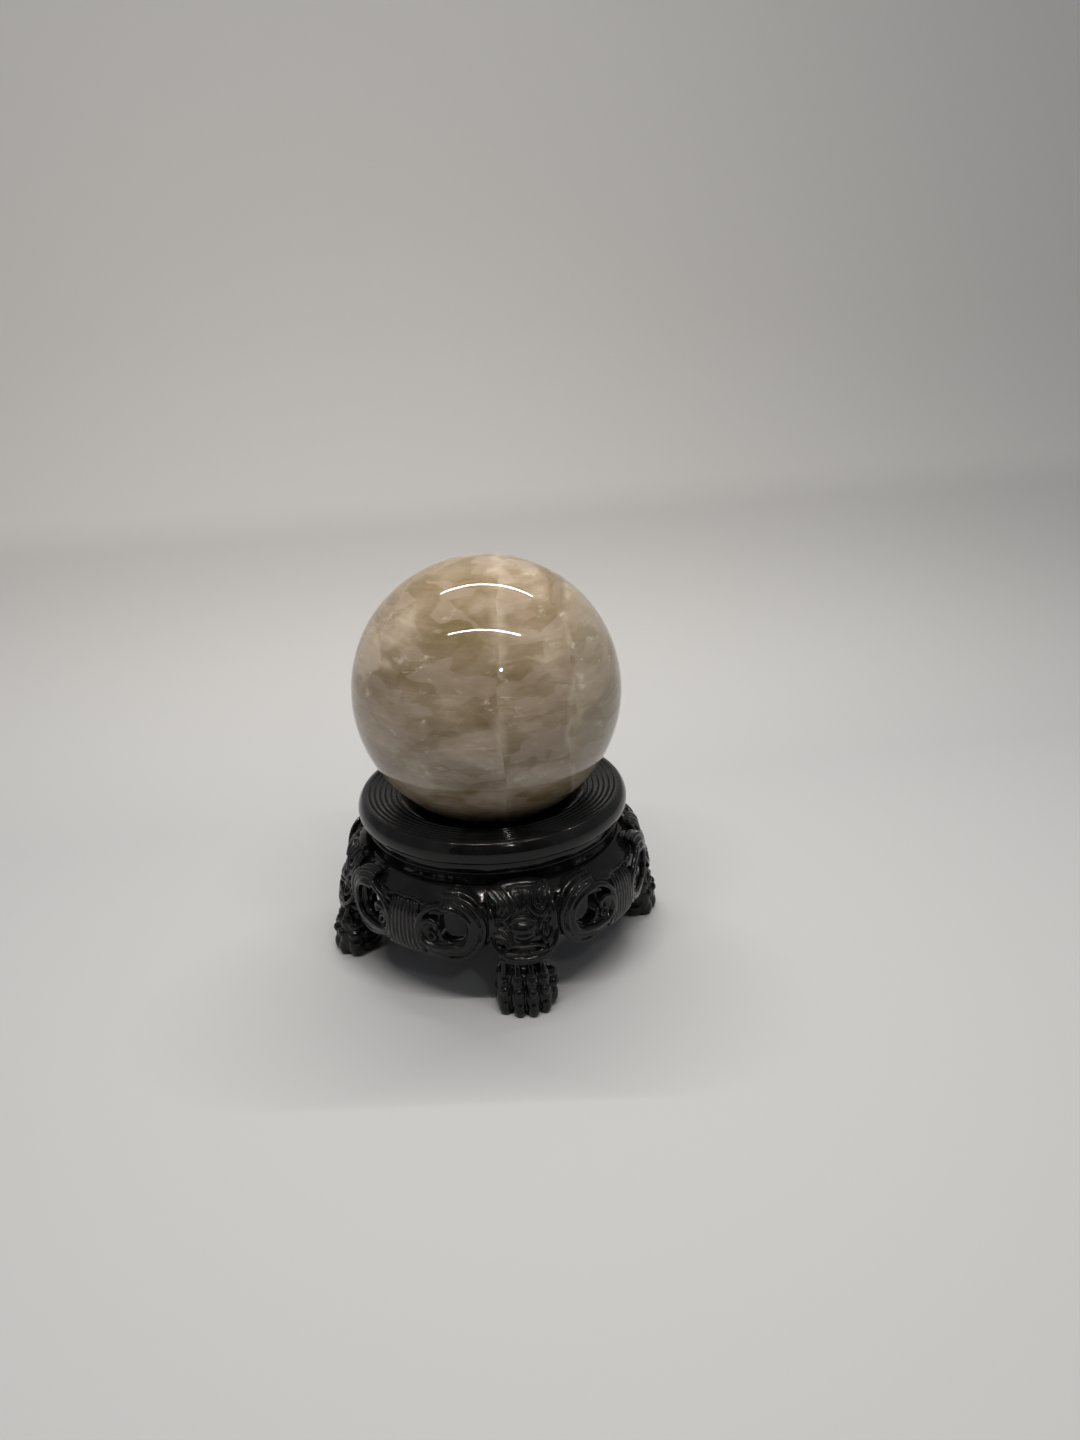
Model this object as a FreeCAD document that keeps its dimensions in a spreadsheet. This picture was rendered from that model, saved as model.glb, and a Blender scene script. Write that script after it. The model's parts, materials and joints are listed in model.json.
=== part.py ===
import FreeCAD, Part
import Sketcher
import math
import os

# A polished stone ball that lies loose in a carved stand.
# The stand is a turned dish on a turned collar, four legs with a beast mask and a paw,
# and four pierced aprons between the legs. Millimetres, +Z up, the origin on the floor
# under the ball's centre. The front leg points along -Y.

document = FreeCAD.newDocument("CrystalBall")

# ---------------------------------------------------------------- driving dimensions

SIZES = [
    ("ball_diameter", 75.0, "polished ball"),
    ("seat_gap", 0.15, "between the ball and the cone that it lies in"),
    ("dish_diameter", 77.2, "widest circle of the dish's flange"),
    ("rim_height", 46.9, "top of the flange above the floor"),
    ("rim_thickness", 6.5, "top of the flange down to its underside"),
    ("rim_round", 5.2, "radius of the flange's rounded edge"),
    ("rim_top_inset", 1.9, "top edge of the flange inside the widest circle"),
    ("rim_foot_inset", 0.6, "bottom edge of the flange inside the widest circle"),
    ("groove_zone", 9.7, "width of the grooved top face"),
    ("groove_fall", 1.2, "fall of the grooved top face towards the ball"),
    ("groove_radius", 0.5, "round groove turned in the top face"),
    ("seat_angle", 21.3, "slope of the seat's cone, degrees"),
    ("recess_diameter", 20.0, "recess under the ball"),
    ("recess_depth", 2.0, "recess below the end of the cone"),
    ("dish_floor", 2.7, "wood left under the recess"),
    ("flange_overhang", 2.8, "flange outside the collar"),
    ("collar_height", 8.4, "collar below the flange"),
    ("collar_wall", 5.8, "collar between its bore and its outside"),
    ("collar_band_height", 2.8, "raised band under the flange"),
    ("collar_band_step", 0.5, "how far that band stands out"),
    ("glue_gap", 0.05, "glue line between two fixed pieces"),
    ("shoulder_reach", 4.3, "legs and aprons reach this far in under the collar"),
    ("shoulder_depth", 2.5, "height of that shoulder"),
    ("mask_width", 18.0, "carved mask across the leg"),
    ("mask_drop", 3.9, "top of the mask below the flange"),
    ("mask_height", 19.5, "carved mask from crown to chin"),
    ("mask_reach", 10.3, "snout outside the collar"),
    ("foot_reach", 14.1, "toe tips outside the collar"),
    ("foot_length", 12.9, "paw from heel to toe tips"),
    ("shank_width", 11.0, "leg below the mask"),
    ("toe_width", 3.1, "one toe from the next"),
    ("toe_length", 2.8, "half length of a toe's end"),
    ("toe_height", 3.2, "half height of a toe's end"),
    ("apron_reach", 8.2, "widest circle of the aprons outside the collar"),
    ("apron_wall", 4.0, "thickness of an apron"),
    ("apron_drop", 27.1, "lower edge of the aprons below the flange"),
    ("apron_arc", 22.0, "radius of an apron's bulging section"),
    ("scroll_diameter", 21.0, "carved scroll beside each leg"),
    ("scroll_strand", 4.8, "thickness of the scroll's strand"),
    ("scroll_bite", 0.6, "taken off the scroll where it is glued to the leg"),
    ("scroll_drop", 15.6, "centre of the scroll below the flange"),
    ("scroll_lean", 14.0, "scroll leans in at the top, degrees"),
    ("eye_inset", 7.0, "curled end from the scroll's centre, towards the flutes"),
    ("eye_drop", 2.8, "curled end below the scroll's centre"),
    ("eye_radius", 2.9, "curled end of the scroll"),
    ("flute_pitch", 1.5, "one flute of the gathered band from the next"),
    ("flute_height", 18.0, "flutes of the gathered band"),
    ("leg_peg_diameter", 2.6, "upright dowel between a leg and the collar"),
    ("leg_peg_length", 4.4, "upright dowel"),
    ("apron_peg_diameter", 2.0, "dowel between a leg and an apron"),
    ("apron_peg_length", 5.6, "dowel between a leg and an apron"),
]

GROOVE_COUNT = 5
FLUTE_COUNT = 7
TOE_COUNT = 4
QUARTER = 90.0

sheet = document.addObject("Spreadsheet::Sheet", "Sizes")
for row, (alias, value, meaning) in enumerate(SIZES, start=1):
    sheet.set(f"A{row}", alias)
    sheet.set(f"B{row}", str(value))
    sheet.set(f"C{row}", meaning)
    sheet.setAlias(f"B{row}", alias)
document.recompute()

# ---------------------------------------------------------------- places that follow from them

SEAM = "(Sizes.rim_height - Sizes.rim_thickness)"
COLLAR_R = "(Sizes.dish_diameter / 2 - Sizes.flange_overhang)"
COLLAR_FOOT = f"({SEAM} - Sizes.collar_height)"
SPIGOT_R = f"({COLLAR_R} - Sizes.collar_wall)"
RIM_EDGE_R = "(Sizes.dish_diameter / 2 - Sizes.rim_top_inset)"
RING_R = f"({RIM_EDGE_R} - Sizes.groove_zone)"
RING_Z = "(Sizes.rim_height - Sizes.groove_fall)"
SEAT_SLOPE = "tan(Sizes.seat_angle * 1 deg)"
SEAT_APEX = f"({RING_Z} - {RING_R} * {SEAT_SLOPE})"
RECESS_R = "(Sizes.recess_diameter / 2)"
RECESS_RIM = f"({SEAT_APEX} + {RECESS_R} * {SEAT_SLOPE})"
RECESS_FLOOR = f"({RECESS_RIM} - Sizes.recess_depth)"
SPIGOT_FOOT = f"({RECESS_FLOOR} - Sizes.dish_floor)"
BALL_R = "(Sizes.ball_diameter / 2)"
BALL_Z = f"({SEAT_APEX} + ({BALL_R} + Sizes.seat_gap) / cos(Sizes.seat_angle * 1 deg))"

SHOULDER_R = f"({COLLAR_R} - Sizes.shoulder_reach)"
SHOULDER_FOOT = f"({COLLAR_FOOT} - Sizes.shoulder_depth)"
MASK_TOP = f"({SEAM} - Sizes.mask_drop)"
MASK_FOOT = f"({MASK_TOP} - Sizes.mask_height)"
MASK_SIDE = "(Sizes.mask_width / 2)"
SNOUT_R = f"({COLLAR_R} + Sizes.mask_reach)"
TOE_TIP_R = f"({COLLAR_R} + Sizes.foot_reach)"
HEEL_R = f"({TOE_TIP_R} - Sizes.foot_length)"

APRON_R = f"({COLLAR_R} + Sizes.apron_reach)"
APRON_MID_R = f"({APRON_R} - Sizes.apron_wall / 2)"
APRON_FOOT = f"({SEAM} - Sizes.apron_drop)"
SCROLL_Z = f"({SEAM} - Sizes.scroll_drop)"
SCROLL_R = "(Sizes.scroll_diameter / 2)"
STRAND_R = "(Sizes.scroll_strand / 2)"
SCROLL_TURN = f"(45 deg - asin(({MASK_SIDE} + {SCROLL_R} - Sizes.scroll_bite) / {APRON_R}))"
LEG_PEG_R = f"({COLLAR_R} - Sizes.collar_wall / 2)"
APRON_PEG_R = f"sqrt({APRON_MID_R}^2 - {MASK_SIDE}^2)"

RADIAL_PLANE = FreeCAD.Rotation(FreeCAD.Vector(1, 0, 0), 90)


# ---------------------------------------------------------------- ways of making a piece

def value_of(formula):
    """The number that a formula over the sheet gives, to start a sketch near its shape."""
    value = sheet.evalExpression(formula)
    return float(getattr(value, "Value", value))


def bind(thing, **formulas):
    """Ties properties of an object to the sheet; a double underscore stands for a dot."""
    for path, formula in formulas.items():
        thing.setExpression(path.replace("__", "."), str(formula))
    return thing


def tie_point(sketch, edge, end, corner):
    """Holds one end of an edge at a corner's radius and height."""
    for kind, formula in (("DistanceX", corner[0]), ("DistanceY", corner[1])):
        if value_of(formula) == 0.0:
            axis = -2 if kind == "DistanceX" else -1
            sketch.addConstraint(Sketcher.Constraint("PointOnObject", edge, end, axis))
        else:
            index = sketch.addConstraint(
                Sketcher.Constraint(kind, -1, 1, edge, end, value_of(formula)))
            sketch.setExpression(f"Constraints[{index}]", formula)


def outline(sketch, corners, bulge=None):
    """Closes a ring of corners with straight edges. bulge maps the number of the edge that
    leaves a corner to the formula of the radius of an arc that bulges away from the axis."""
    bulge = bulge or {}
    places = [FreeCAD.Vector(value_of(r), value_of(z), 0) for r, z in corners]
    ends = []
    for number, start in enumerate(places):
        finish = places[(number + 1) % len(places)]
        if number not in bulge:
            sketch.addGeometry(Part.LineSegment(start, finish))
            ends.append((1, 2))
            continue
        radius = value_of(bulge[number])
        middle = (start + finish) / 2
        chord = finish - start
        outward = FreeCAD.Vector(abs(chord.y), 0, 0) + FreeCAD.Vector(
            0, -chord.x if chord.y > 0 else chord.x, 0)
        outward.normalize()
        depth = math.sqrt(radius ** 2 - (chord.Length / 2) ** 2)
        crown = middle + outward * (radius - depth)
        arc = Part.Arc(start, crown, finish)
        sketch.addGeometry(arc)
        rising = chord.y > 0
        ends.append((1, 2) if rising else (2, 1))
        index = sketch.addConstraint(Sketcher.Constraint("Radius", number, radius))
        sketch.setExpression(f"Constraints[{index}]", bulge[number])
    for number, corner in enumerate(corners):
        following = (number + 1) % len(corners)
        sketch.addConstraint(Sketcher.Constraint(
            "Coincident", number, ends[number][1], following, ends[following][0]))
        tie_point(sketch, number, ends[number][0], corner)
    return sketch


def origin_plane(body, role):
    return [feature for feature in body.Origin.OriginFeatures if feature.Role == role][0]


def radial_sketch(body, name):
    """A sketch in the plane through the axis; its x is the radius and its y is the height."""
    sketch = body.newObject("Sketcher::SketchObject", name)
    sketch.AttachmentSupport = [(origin_plane(body, "XZ_Plane"), "")]
    sketch.MapMode = "FlatFace"
    return sketch


def turned_body(name, corners, bulge=None):
    """A piece turned on the lathe about the upright axis."""
    body = document.addObject("PartDesign::Body", name)
    body.Label = name
    sketch = outline(radial_sketch(body, f"{name}_profile"), corners, bulge)
    turned = body.newObject("PartDesign::Revolution", f"{name}_turned")
    turned.Profile = sketch
    turned.ReferenceAxis = (origin_plane(body, "Z_Axis"), [""])
    turned.Angle = 360
    document.recompute()
    return body


def carved_slab(name, corners, width, bulge=None):
    """A slab sawn to a side outline, as wide as the formula says, about the middle plane."""
    sketch = document.addObject("Sketcher::SketchObject", f"{name}_outline")
    sketch.Placement.Rotation = RADIAL_PLANE
    outline(sketch, corners, bulge)
    slab = document.addObject("Part::Extrusion", name)
    slab.Base = sketch
    slab.DirMode = "Custom"
    slab.Dir = FreeCAD.Vector(0, 1, 0)
    slab.Solid = True
    slab.Symmetric = True
    return bind(slab, LengthFwd=width)


def knob(name, place, along, across, tall):
    """A rounded lump. along is its half size outwards, across sideways and tall upwards."""
    lump = document.addObject("Part::Ellipsoid", name)
    return bind(lump, Radius1=tall, Radius2=along, Radius3=across,
                Placement__Base__x=place[0], Placement__Base__y=place[1],
                Placement__Base__z=place[2])


def peg(name, radius, length, place, turn, lying):
    """A dowel or its socket. It starts at place and runs up, or sideways if it is lying;
    turn swings it about the upright axis."""
    rod = document.addObject("Part::Cylinder", name)
    lay = "rotation(vector(1; 0; 0); -90 deg)" if lying else "rotation(vector(0; 0; 1); 0 deg)"
    spot = f"vector({place[0]}; {place[1]}; {place[2]})"
    swing = f"placement(vector(0; 0; 0); rotation(vector(0; 0; 1); {turn} * 1 deg))"
    return bind(rod, Radius=radius, Height=length,
                Placement=f"{swing} * placement({spot}; {lay})")


def joined(name, pieces):
    union = document.addObject("Part::MultiFuse", name)
    union.Shapes = pieces
    union.Refine = False
    return union


def cut_from(name, base, tools):
    cut = document.addObject("Part::Cut", name)
    cut.Base = base
    cut.Tool = tools[0] if len(tools) == 1 else joined(f"{name}_tools", tools)
    cut.Refine = False
    return cut


def turned_to(piece, name, degrees):
    piece.Label = name
    piece.Placement = FreeCAD.Placement(
        FreeCAD.Vector(0, 0, 0), FreeCAD.Rotation(FreeCAD.Vector(0, 0, 1), degrees))
    return piece


# ---------------------------------------------------------------- ball, dish and collar

def make_ball():
    ball = document.addObject("Part::Sphere", "ball")
    ball.Label = "ball"
    return bind(ball, Radius=BALL_R, Placement__Base__z=BALL_Z)


def make_dish():
    """Turned flange and spigot, with a conical seat, a recess and ring grooves."""
    corners = [
        ("0", SPIGOT_FOOT),
        (SPIGOT_R, SPIGOT_FOOT),
        (SPIGOT_R, SEAM),
        ("Sizes.dish_diameter / 2 - Sizes.rim_foot_inset", SEAM),
        (RIM_EDGE_R, "Sizes.rim_height"),
        (RING_R, RING_Z),
        (RECESS_R, RECESS_RIM),
        (RECESS_R, RECESS_FLOOR),
        ("0", RECESS_FLOOR),
    ]
    body = turned_body("dish", corners, bulge={3: "Sizes.rim_round"})
    sketch = radial_sketch(body, "dish_groove_circles")
    for number in range(GROOVE_COUNT):
        share = (number + 0.7) / GROOVE_COUNT
        radius = f"{RING_R} + Sizes.groove_zone * {share}"
        height = f"{RING_Z} + Sizes.groove_fall * {share} + Sizes.groove_radius * 0.4"
        centre = FreeCAD.Vector(value_of(radius), value_of(height), 0)
        up = FreeCAD.Vector(0, 0, 1)
        sketch.addGeometry(Part.Circle(centre, up, value_of("Sizes.groove_radius")))
        tie_point(sketch, number, 3, (radius, height))
        index = sketch.addConstraint(
            Sketcher.Constraint("Radius", number, value_of("Sizes.groove_radius")))
        sketch.setExpression(f"Constraints[{index}]", "Sizes.groove_radius")
    grooves = body.newObject("PartDesign::Groove", "dish_grooves")
    grooves.Profile = sketch
    grooves.ReferenceAxis = (origin_plane(body, "Z_Axis"), [""])
    grooves.Angle = 360
    document.recompute()
    return body


def make_collar():
    """Turned ring under the flange, bored for the dish and for a dowel over each leg."""
    bore = f"({SPIGOT_R} + Sizes.glue_gap)"
    top = f"({SEAM} - Sizes.glue_gap)"
    band_foot = f"({SEAM} - Sizes.collar_band_height)"
    band_r = f"({COLLAR_R} + Sizes.collar_band_step)"
    corners = [(bore, COLLAR_FOOT), (COLLAR_R, COLLAR_FOOT), (COLLAR_R, band_foot),
               (band_r, band_foot), (band_r, top), (bore, top)]
    body = turned_body("collar", corners)
    sketch = body.newObject("Sketcher::SketchObject", "collar_socket_circle")
    sketch.AttachmentSupport = [(origin_plane(body, "XY_Plane"), "")]
    sketch.MapMode = "FlatFace"
    bind(sketch, AttachmentOffset__Base__z=COLLAR_FOOT)
    radius = "(Sizes.leg_peg_diameter / 2 + Sizes.glue_gap)"
    sketch.addGeometry(Part.Circle(FreeCAD.Vector(value_of(LEG_PEG_R), 0, 0),
                                   FreeCAD.Vector(0, 0, 1), value_of(radius)))
    tie_point(sketch, 0, 3, (LEG_PEG_R, "0"))
    index = sketch.addConstraint(Sketcher.Constraint("Radius", 0, value_of(radius)))
    sketch.setExpression(f"Constraints[{index}]", radius)
    socket = body.newObject("PartDesign::Pocket", "collar_socket")
    socket.Profile = sketch
    socket.Reversed = True
    bind(socket, Length="Sizes.leg_peg_length / 2 + Sizes.glue_gap")
    document.recompute()
    ring = body.newObject("PartDesign::PolarPattern", "collar_sockets")
    ring.Originals = [socket]
    ring.Axis = (origin_plane(body, "Z_Axis"), [""])
    ring.Angle = 360
    ring.Occurrences = 4
    body.Tip = ring
    document.recompute()
    return body


# ---------------------------------------------------------------- legs

def mask_pieces(name):
    """Head of the leg: a slab under the carving, with brow, cheek, snout and chin lumps."""
    crown = f"({COLLAR_R} + 2.4)"
    back = f"({COLLAR_R} + 1.5)"
    slab = carved_slab(f"{name}_mask", [
        (SHOULDER_R, SHOULDER_FOOT),
        (SHOULDER_R, MASK_TOP),
        (crown, MASK_TOP),
        (f"({SNOUT_R} - 3.3)", f"({MASK_TOP} - 5.1)"),
        (f"({SNOUT_R} - 2.4)", f"({MASK_TOP} - 12)"),
        (f"({SNOUT_R} - 1)", MASK_FOOT),
        (f"({COLLAR_R} + 3)", MASK_FOOT),
        (back, SHOULDER_FOOT),
    ], "Sizes.mask_width")
    pieces = [slab]
    for side in (-1, 1):
        pieces.append(knob(f"{name}_brow", (f"({SNOUT_R} - 3.6)", f"{side} * 4.6",
                                            f"{MASK_TOP} - 5.4"), "2.4", "4.0", "3.0"))
        pieces.append(knob(f"{name}_cheek", (f"({SNOUT_R} - 2.6)", f"{side} * 5.0",
                                             f"{MASK_TOP} - 13.6"), "2.6", "3.6", "3.8"))
    pieces.append(knob(f"{name}_nose", (f"({SNOUT_R} - 2.2)", "0", f"{MASK_TOP} - 11.6"),
                       "2.9", "3.4", "3.4"))
    pieces.append(knob(f"{name}_chin", (f"({SNOUT_R} - 2.4)", "0", f"{MASK_FOOT} + 2.8"),
                       "2.6", "4.6", "2.6"))
    return pieces


def paw_pieces(name):
    """Shank and paw: toes with two knuckles each, and a dewclaw on one side."""
    slab = carved_slab(f"{name}_shank", [
        (f"({COLLAR_R} + 2.2)", f"({MASK_FOOT} + 4)"),
        (f"({SNOUT_R} - 1)", f"({MASK_FOOT} + 4)"),
        (SNOUT_R, f"({MASK_FOOT} - 3)"),
        (f"({TOE_TIP_R} - 3.4)", f"({MASK_FOOT} - 5.4)"),
        (f"({TOE_TIP_R} - Sizes.toe_length)", "2 * Sizes.toe_height"),
        (f"({TOE_TIP_R} - Sizes.toe_length)", "0"),
        (HEEL_R, "0"),
        (HEEL_R, "2 * Sizes.toe_height"),
        (f"({HEEL_R} + 2)", f"({MASK_FOOT} - 5)"),
    ], "Sizes.shank_width")
    pieces = [slab]
    half = "(Sizes.toe_width / 2 + 0.15)"
    for number in range(TOE_COUNT):
        across = f"{number - (TOE_COUNT - 1) / 2} * Sizes.toe_width"
        pieces.append(knob(f"{name}_toe_end", (f"({TOE_TIP_R} - Sizes.toe_length)", across,
                                               "Sizes.toe_height"),
                           "Sizes.toe_length", half, "Sizes.toe_height"))
        pieces.append(knob(f"{name}_knuckle", (f"({TOE_TIP_R} - Sizes.toe_length - 0.6)", across,
                                               "Sizes.toe_height * 2.6"),
                           "Sizes.toe_length", half, "Sizes.toe_height"))
    pieces.append(knob(f"{name}_dewclaw", (f"({TOE_TIP_R} - Sizes.toe_length - 3.4)",
                                           "Sizes.shank_width / 2 + 0.4", "6.4"),
                       "2.4", "1.9", "3.4"))
    return pieces


def make_leg(name, degrees):
    """One leg, carved with its outside along +X and then turned to its place."""
    carving = joined(f"{name}_carving", mask_pieces(name) + paw_pieces(name))
    notch = document.addObject("Part::Cylinder", f"{name}_notch")
    bind(notch, Radius=f"{COLLAR_R} + Sizes.glue_gap", Height="Sizes.rim_height",
         Placement__Base__z=f"{COLLAR_FOOT} - Sizes.glue_gap")
    half = "Sizes.leg_peg_length / 2"
    sockets = [peg(f"{name}_top_socket", "Sizes.leg_peg_diameter / 2 + Sizes.glue_gap",
                   "Sizes.leg_peg_length",
                   (LEG_PEG_R, "0", f"{COLLAR_FOOT} - {half} - Sizes.glue_gap"), 0, False)]
    for start in (f"{MASK_SIDE} - Sizes.apron_peg_length / 2 - Sizes.glue_gap",
                  f"0 - {MASK_SIDE} - Sizes.apron_peg_length / 2"):
        sockets.append(peg(f"{name}_side_socket",
                           "Sizes.apron_peg_diameter / 2 + Sizes.glue_gap",
                           "Sizes.apron_peg_length + Sizes.glue_gap",
                           (APRON_PEG_R, start, SCROLL_Z), 0, True))
    return turned_to(cut_from(name, carving, [notch] + sockets), name, degrees)


# ---------------------------------------------------------------- aprons

def scroll_placement(side, depth):
    """Stands a flat thing upright on the scroll's spot, facing outwards and leaning in."""
    swing = f"rotation(vector(0; 0; 1); {side} * {SCROLL_TURN})"
    stand = "rotation(vector(0; 1; 0); 90 deg - Sizes.scroll_lean * 1 deg)"
    return (f"placement(vector(0; 0; 0); {swing}) * "
            f"placement(vector({depth}; 0; {SCROLL_Z}); {stand})")


def apron_sheet(name):
    """Bulging wall between two legs, with a lip outside the collar and a shoulder under it."""
    lip_r = f"({COLLAR_R} + Sizes.glue_gap)"
    shoulder_top = f"({COLLAR_FOOT} - Sizes.glue_gap)"
    knee = f"({SHOULDER_FOOT} + 1)"
    sketch = document.addObject("Sketcher::SketchObject", f"{name}_section")
    sketch.Placement.Rotation = RADIAL_PLANE
    outline(sketch, [
        (SHOULDER_R, SHOULDER_FOOT),
        (f"({APRON_R} - 2 - Sizes.apron_wall)", SHOULDER_FOOT),
        (f"({APRON_R} - 1 - Sizes.apron_wall)", APRON_FOOT),
        (f"({APRON_R} - 1)", APRON_FOOT),
        (f"({APRON_R} - 1.8)", knee),
        (f"({COLLAR_R} + 2)", MASK_TOP),
        (lip_r, MASK_TOP),
        (lip_r, shoulder_top),
        (SHOULDER_R, shoulder_top),
    ], bulge={3: "Sizes.apron_arc"})
    wall = document.addObject("Part::Revolution", f"{name}_wall")
    wall.Source = sketch
    wall.Axis = FreeCAD.Vector(0, 0, 1)
    wall.Angle = QUARTER
    wall.Symmetric = True
    wall.Solid = True
    return wall


def leg_slot(name, side):
    """The room that a leg takes out of an apron's end."""
    slot = document.addObject("Part::Box", name)
    width = "(Sizes.mask_width + 2 * Sizes.glue_gap)"
    swing = f"rotation(vector(0; 0; 1); {side * QUARTER / 2} * 1 deg)"
    return bind(slot, Length=f"2 * {APRON_R}", Width=width, Height="2 * Sizes.rim_height",
                Placement=f"placement(vector(0; 0; 0); {swing}) * "
                          f"placement(vector(0; 0 - {width} / 2; 0); "
                          f"rotation(vector(0; 0; 1); 0 deg))")


def lower_corner(name, side):
    """The corner of the wall below the scroll's centre, on the leg's side of it."""
    corner = document.addObject("Part::Box", name)
    width = "2 * Sizes.scroll_diameter"
    start = "0" if side > 0 else f"0 - {width}"
    swing = f"rotation(vector(0; 0; 1); {side} * {SCROLL_TURN})"
    return bind(corner, Length=f"2 * {APRON_R}", Width=width, Height=SCROLL_Z,
                Placement=f"placement(vector(0; 0; 0); {swing}) * "
                          f"placement(vector(0; {start}; 0); "
                          f"rotation(vector(0; 0; 1); 0 deg))")


def make_apron(name, degrees):
    """One apron, carved about the plane along +X and then turned to its place."""
    ridges = []
    openings = []
    for side in (-1, 1):
        strand = document.addObject("Part::Torus", f"{name}_scroll")
        bind(strand, Radius1=f"{SCROLL_R} - {STRAND_R}", Radius2=STRAND_R,
             Placement=scroll_placement(side, APRON_MID_R))
        ridges.append(strand)
        opening = document.addObject("Part::Cylinder", f"{name}_opening")
        bind(opening, Radius=f"{SCROLL_R} - Sizes.scroll_strand * 0.8",
             Height="3 * Sizes.apron_wall",
             Placement=scroll_placement(side, f"({APRON_R} - 2 * Sizes.apron_wall)"))
        openings.append(opening)
        eye_turn = f"({side} * ({SCROLL_TURN} - asin(Sizes.eye_inset / {APRON_R})))"
        ridges.append(knob(f"{name}_eye", (f"{APRON_MID_R} * cos({eye_turn})",
                                           f"{APRON_MID_R} * sin({eye_turn})",
                                           f"{SCROLL_Z} - Sizes.eye_drop"),
                           "Sizes.eye_radius", "Sizes.eye_radius", "Sizes.eye_radius"))
        openings.append(lower_corner(f"{name}_corner", side))
    for number in range(FLUTE_COUNT):
        turn = f"({number - (FLUTE_COUNT - 1) / 2} * Sizes.flute_pitch / {APRON_R} * 1 rad)"
        flute_r = f"({APRON_R} - 0.8)"
        ridges.append(knob(f"{name}_flute", (f"{flute_r} * cos({turn})",
                                             f"{flute_r} * sin({turn})",
                                             f"{APRON_FOOT} + Sizes.flute_height / 2"),
                           "1.4", "Sizes.flute_pitch * 0.55", "Sizes.flute_height / 2"))
    pierced = cut_from(f"{name}_pierced", apron_sheet(name), openings)
    carving = joined(f"{name}_carving", [pierced] + ridges)
    slots = [leg_slot(f"{name}_leg_slot", side) for side in (-1, 1)]
    start = f"{MASK_SIDE} - Sizes.apron_peg_length / 2"
    length = "Sizes.apron_peg_length + Sizes.glue_gap"
    radius = "Sizes.apron_peg_diameter / 2 + Sizes.glue_gap"
    slots.append(peg(f"{name}_socket", radius, length, (APRON_PEG_R, start, SCROLL_Z),
                     -QUARTER / 2, True))
    slots.append(peg(f"{name}_socket", radius, length,
                     (APRON_PEG_R, f"0 - ({start}) - ({length})", SCROLL_Z),
                     QUARTER / 2, True))
    return turned_to(cut_from(name, carving, slots), name, degrees)


# ---------------------------------------------------------------- dowels

def peg_group(name, pegs):
    group = document.addObject("Part::Compound", name)
    group.Label = name
    group.Links = pegs
    return group


def make_leg_pegs():
    start = f"{COLLAR_FOOT} - Sizes.leg_peg_length / 2"
    return peg_group("leg_pegs", [
        peg(f"leg_peg_{number + 1}", "Sizes.leg_peg_diameter / 2", "Sizes.leg_peg_length",
            (LEG_PEG_R, "0", start), number * QUARTER, False)
        for number in range(4)])


def make_apron_pegs():
    starts = (f"{MASK_SIDE} - Sizes.apron_peg_length / 2",
              f"0 - {MASK_SIDE} - Sizes.apron_peg_length / 2")
    return peg_group("apron_pegs", [
        peg(f"apron_peg_{number + 1}", "Sizes.apron_peg_diameter / 2", "Sizes.apron_peg_length",
            (APRON_PEG_R, start, SCROLL_Z), number * QUARTER, True)
        for number in range(4) for start in starts])


# ---------------------------------------------------------------- the object

LEGS = {"leg_front": -90.0, "leg_right": 0.0, "leg_back": 90.0, "leg_left": 180.0}
APRONS = {"apron_front_right": -45.0, "apron_back_right": 45.0,
          "apron_back_left": 135.0, "apron_front_left": -135.0}

nodes = [make_ball(), make_dish(), make_collar()]
nodes += [make_leg(name, degrees) for name, degrees in LEGS.items()]
nodes += [make_apron(name, degrees) for name, degrees in APRONS.items()]
nodes += [make_leg_pegs(), make_apron_pegs()]
document.recompute()

for item in document.Objects:
    if "Invalid" in item.State or "Error" in item.State:
        raise RuntimeError(f"{item.Label} did not build: {item.State}")
for node in nodes:
    if node.Shape.isNull() or not node.Shape.isValid():
        raise RuntimeError(f"{node.Label} has no sound shape")

os.makedirs("parts", exist_ok=True)
for node in nodes:
    node.Shape.exportStep(f"parts/{node.Label}.step")
    print(node.Label, len(node.Shape.Solids), round(node.Shape.Volume, 1))
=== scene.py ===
import json
import math
import bpy
from mathutils import Matrix, Vector

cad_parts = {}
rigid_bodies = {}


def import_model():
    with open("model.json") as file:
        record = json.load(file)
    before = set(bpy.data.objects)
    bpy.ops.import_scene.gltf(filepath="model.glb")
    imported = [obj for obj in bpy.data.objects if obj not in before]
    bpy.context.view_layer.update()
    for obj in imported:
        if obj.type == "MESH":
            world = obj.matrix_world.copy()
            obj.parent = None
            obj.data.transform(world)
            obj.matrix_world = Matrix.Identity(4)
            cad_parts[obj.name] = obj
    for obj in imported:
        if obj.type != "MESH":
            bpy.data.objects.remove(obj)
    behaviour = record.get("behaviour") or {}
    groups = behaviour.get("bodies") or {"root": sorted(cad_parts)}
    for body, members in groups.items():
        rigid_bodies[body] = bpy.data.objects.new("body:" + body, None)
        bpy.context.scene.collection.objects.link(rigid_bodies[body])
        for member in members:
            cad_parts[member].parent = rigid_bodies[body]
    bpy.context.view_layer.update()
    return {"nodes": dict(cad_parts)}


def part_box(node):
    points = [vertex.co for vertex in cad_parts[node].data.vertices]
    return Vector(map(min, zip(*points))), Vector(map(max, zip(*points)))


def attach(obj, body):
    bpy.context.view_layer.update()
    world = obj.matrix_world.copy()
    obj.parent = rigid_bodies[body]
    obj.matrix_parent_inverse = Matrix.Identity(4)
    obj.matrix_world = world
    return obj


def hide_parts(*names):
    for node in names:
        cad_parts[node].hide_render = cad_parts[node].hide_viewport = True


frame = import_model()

# ---------------------------------------------------------------- camera
# A hand-held look down on the front of the ball, a little from the front leg's left.
camera_data = bpy.data.cameras.new("camera")
camera_data.lens = 27.5
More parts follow.
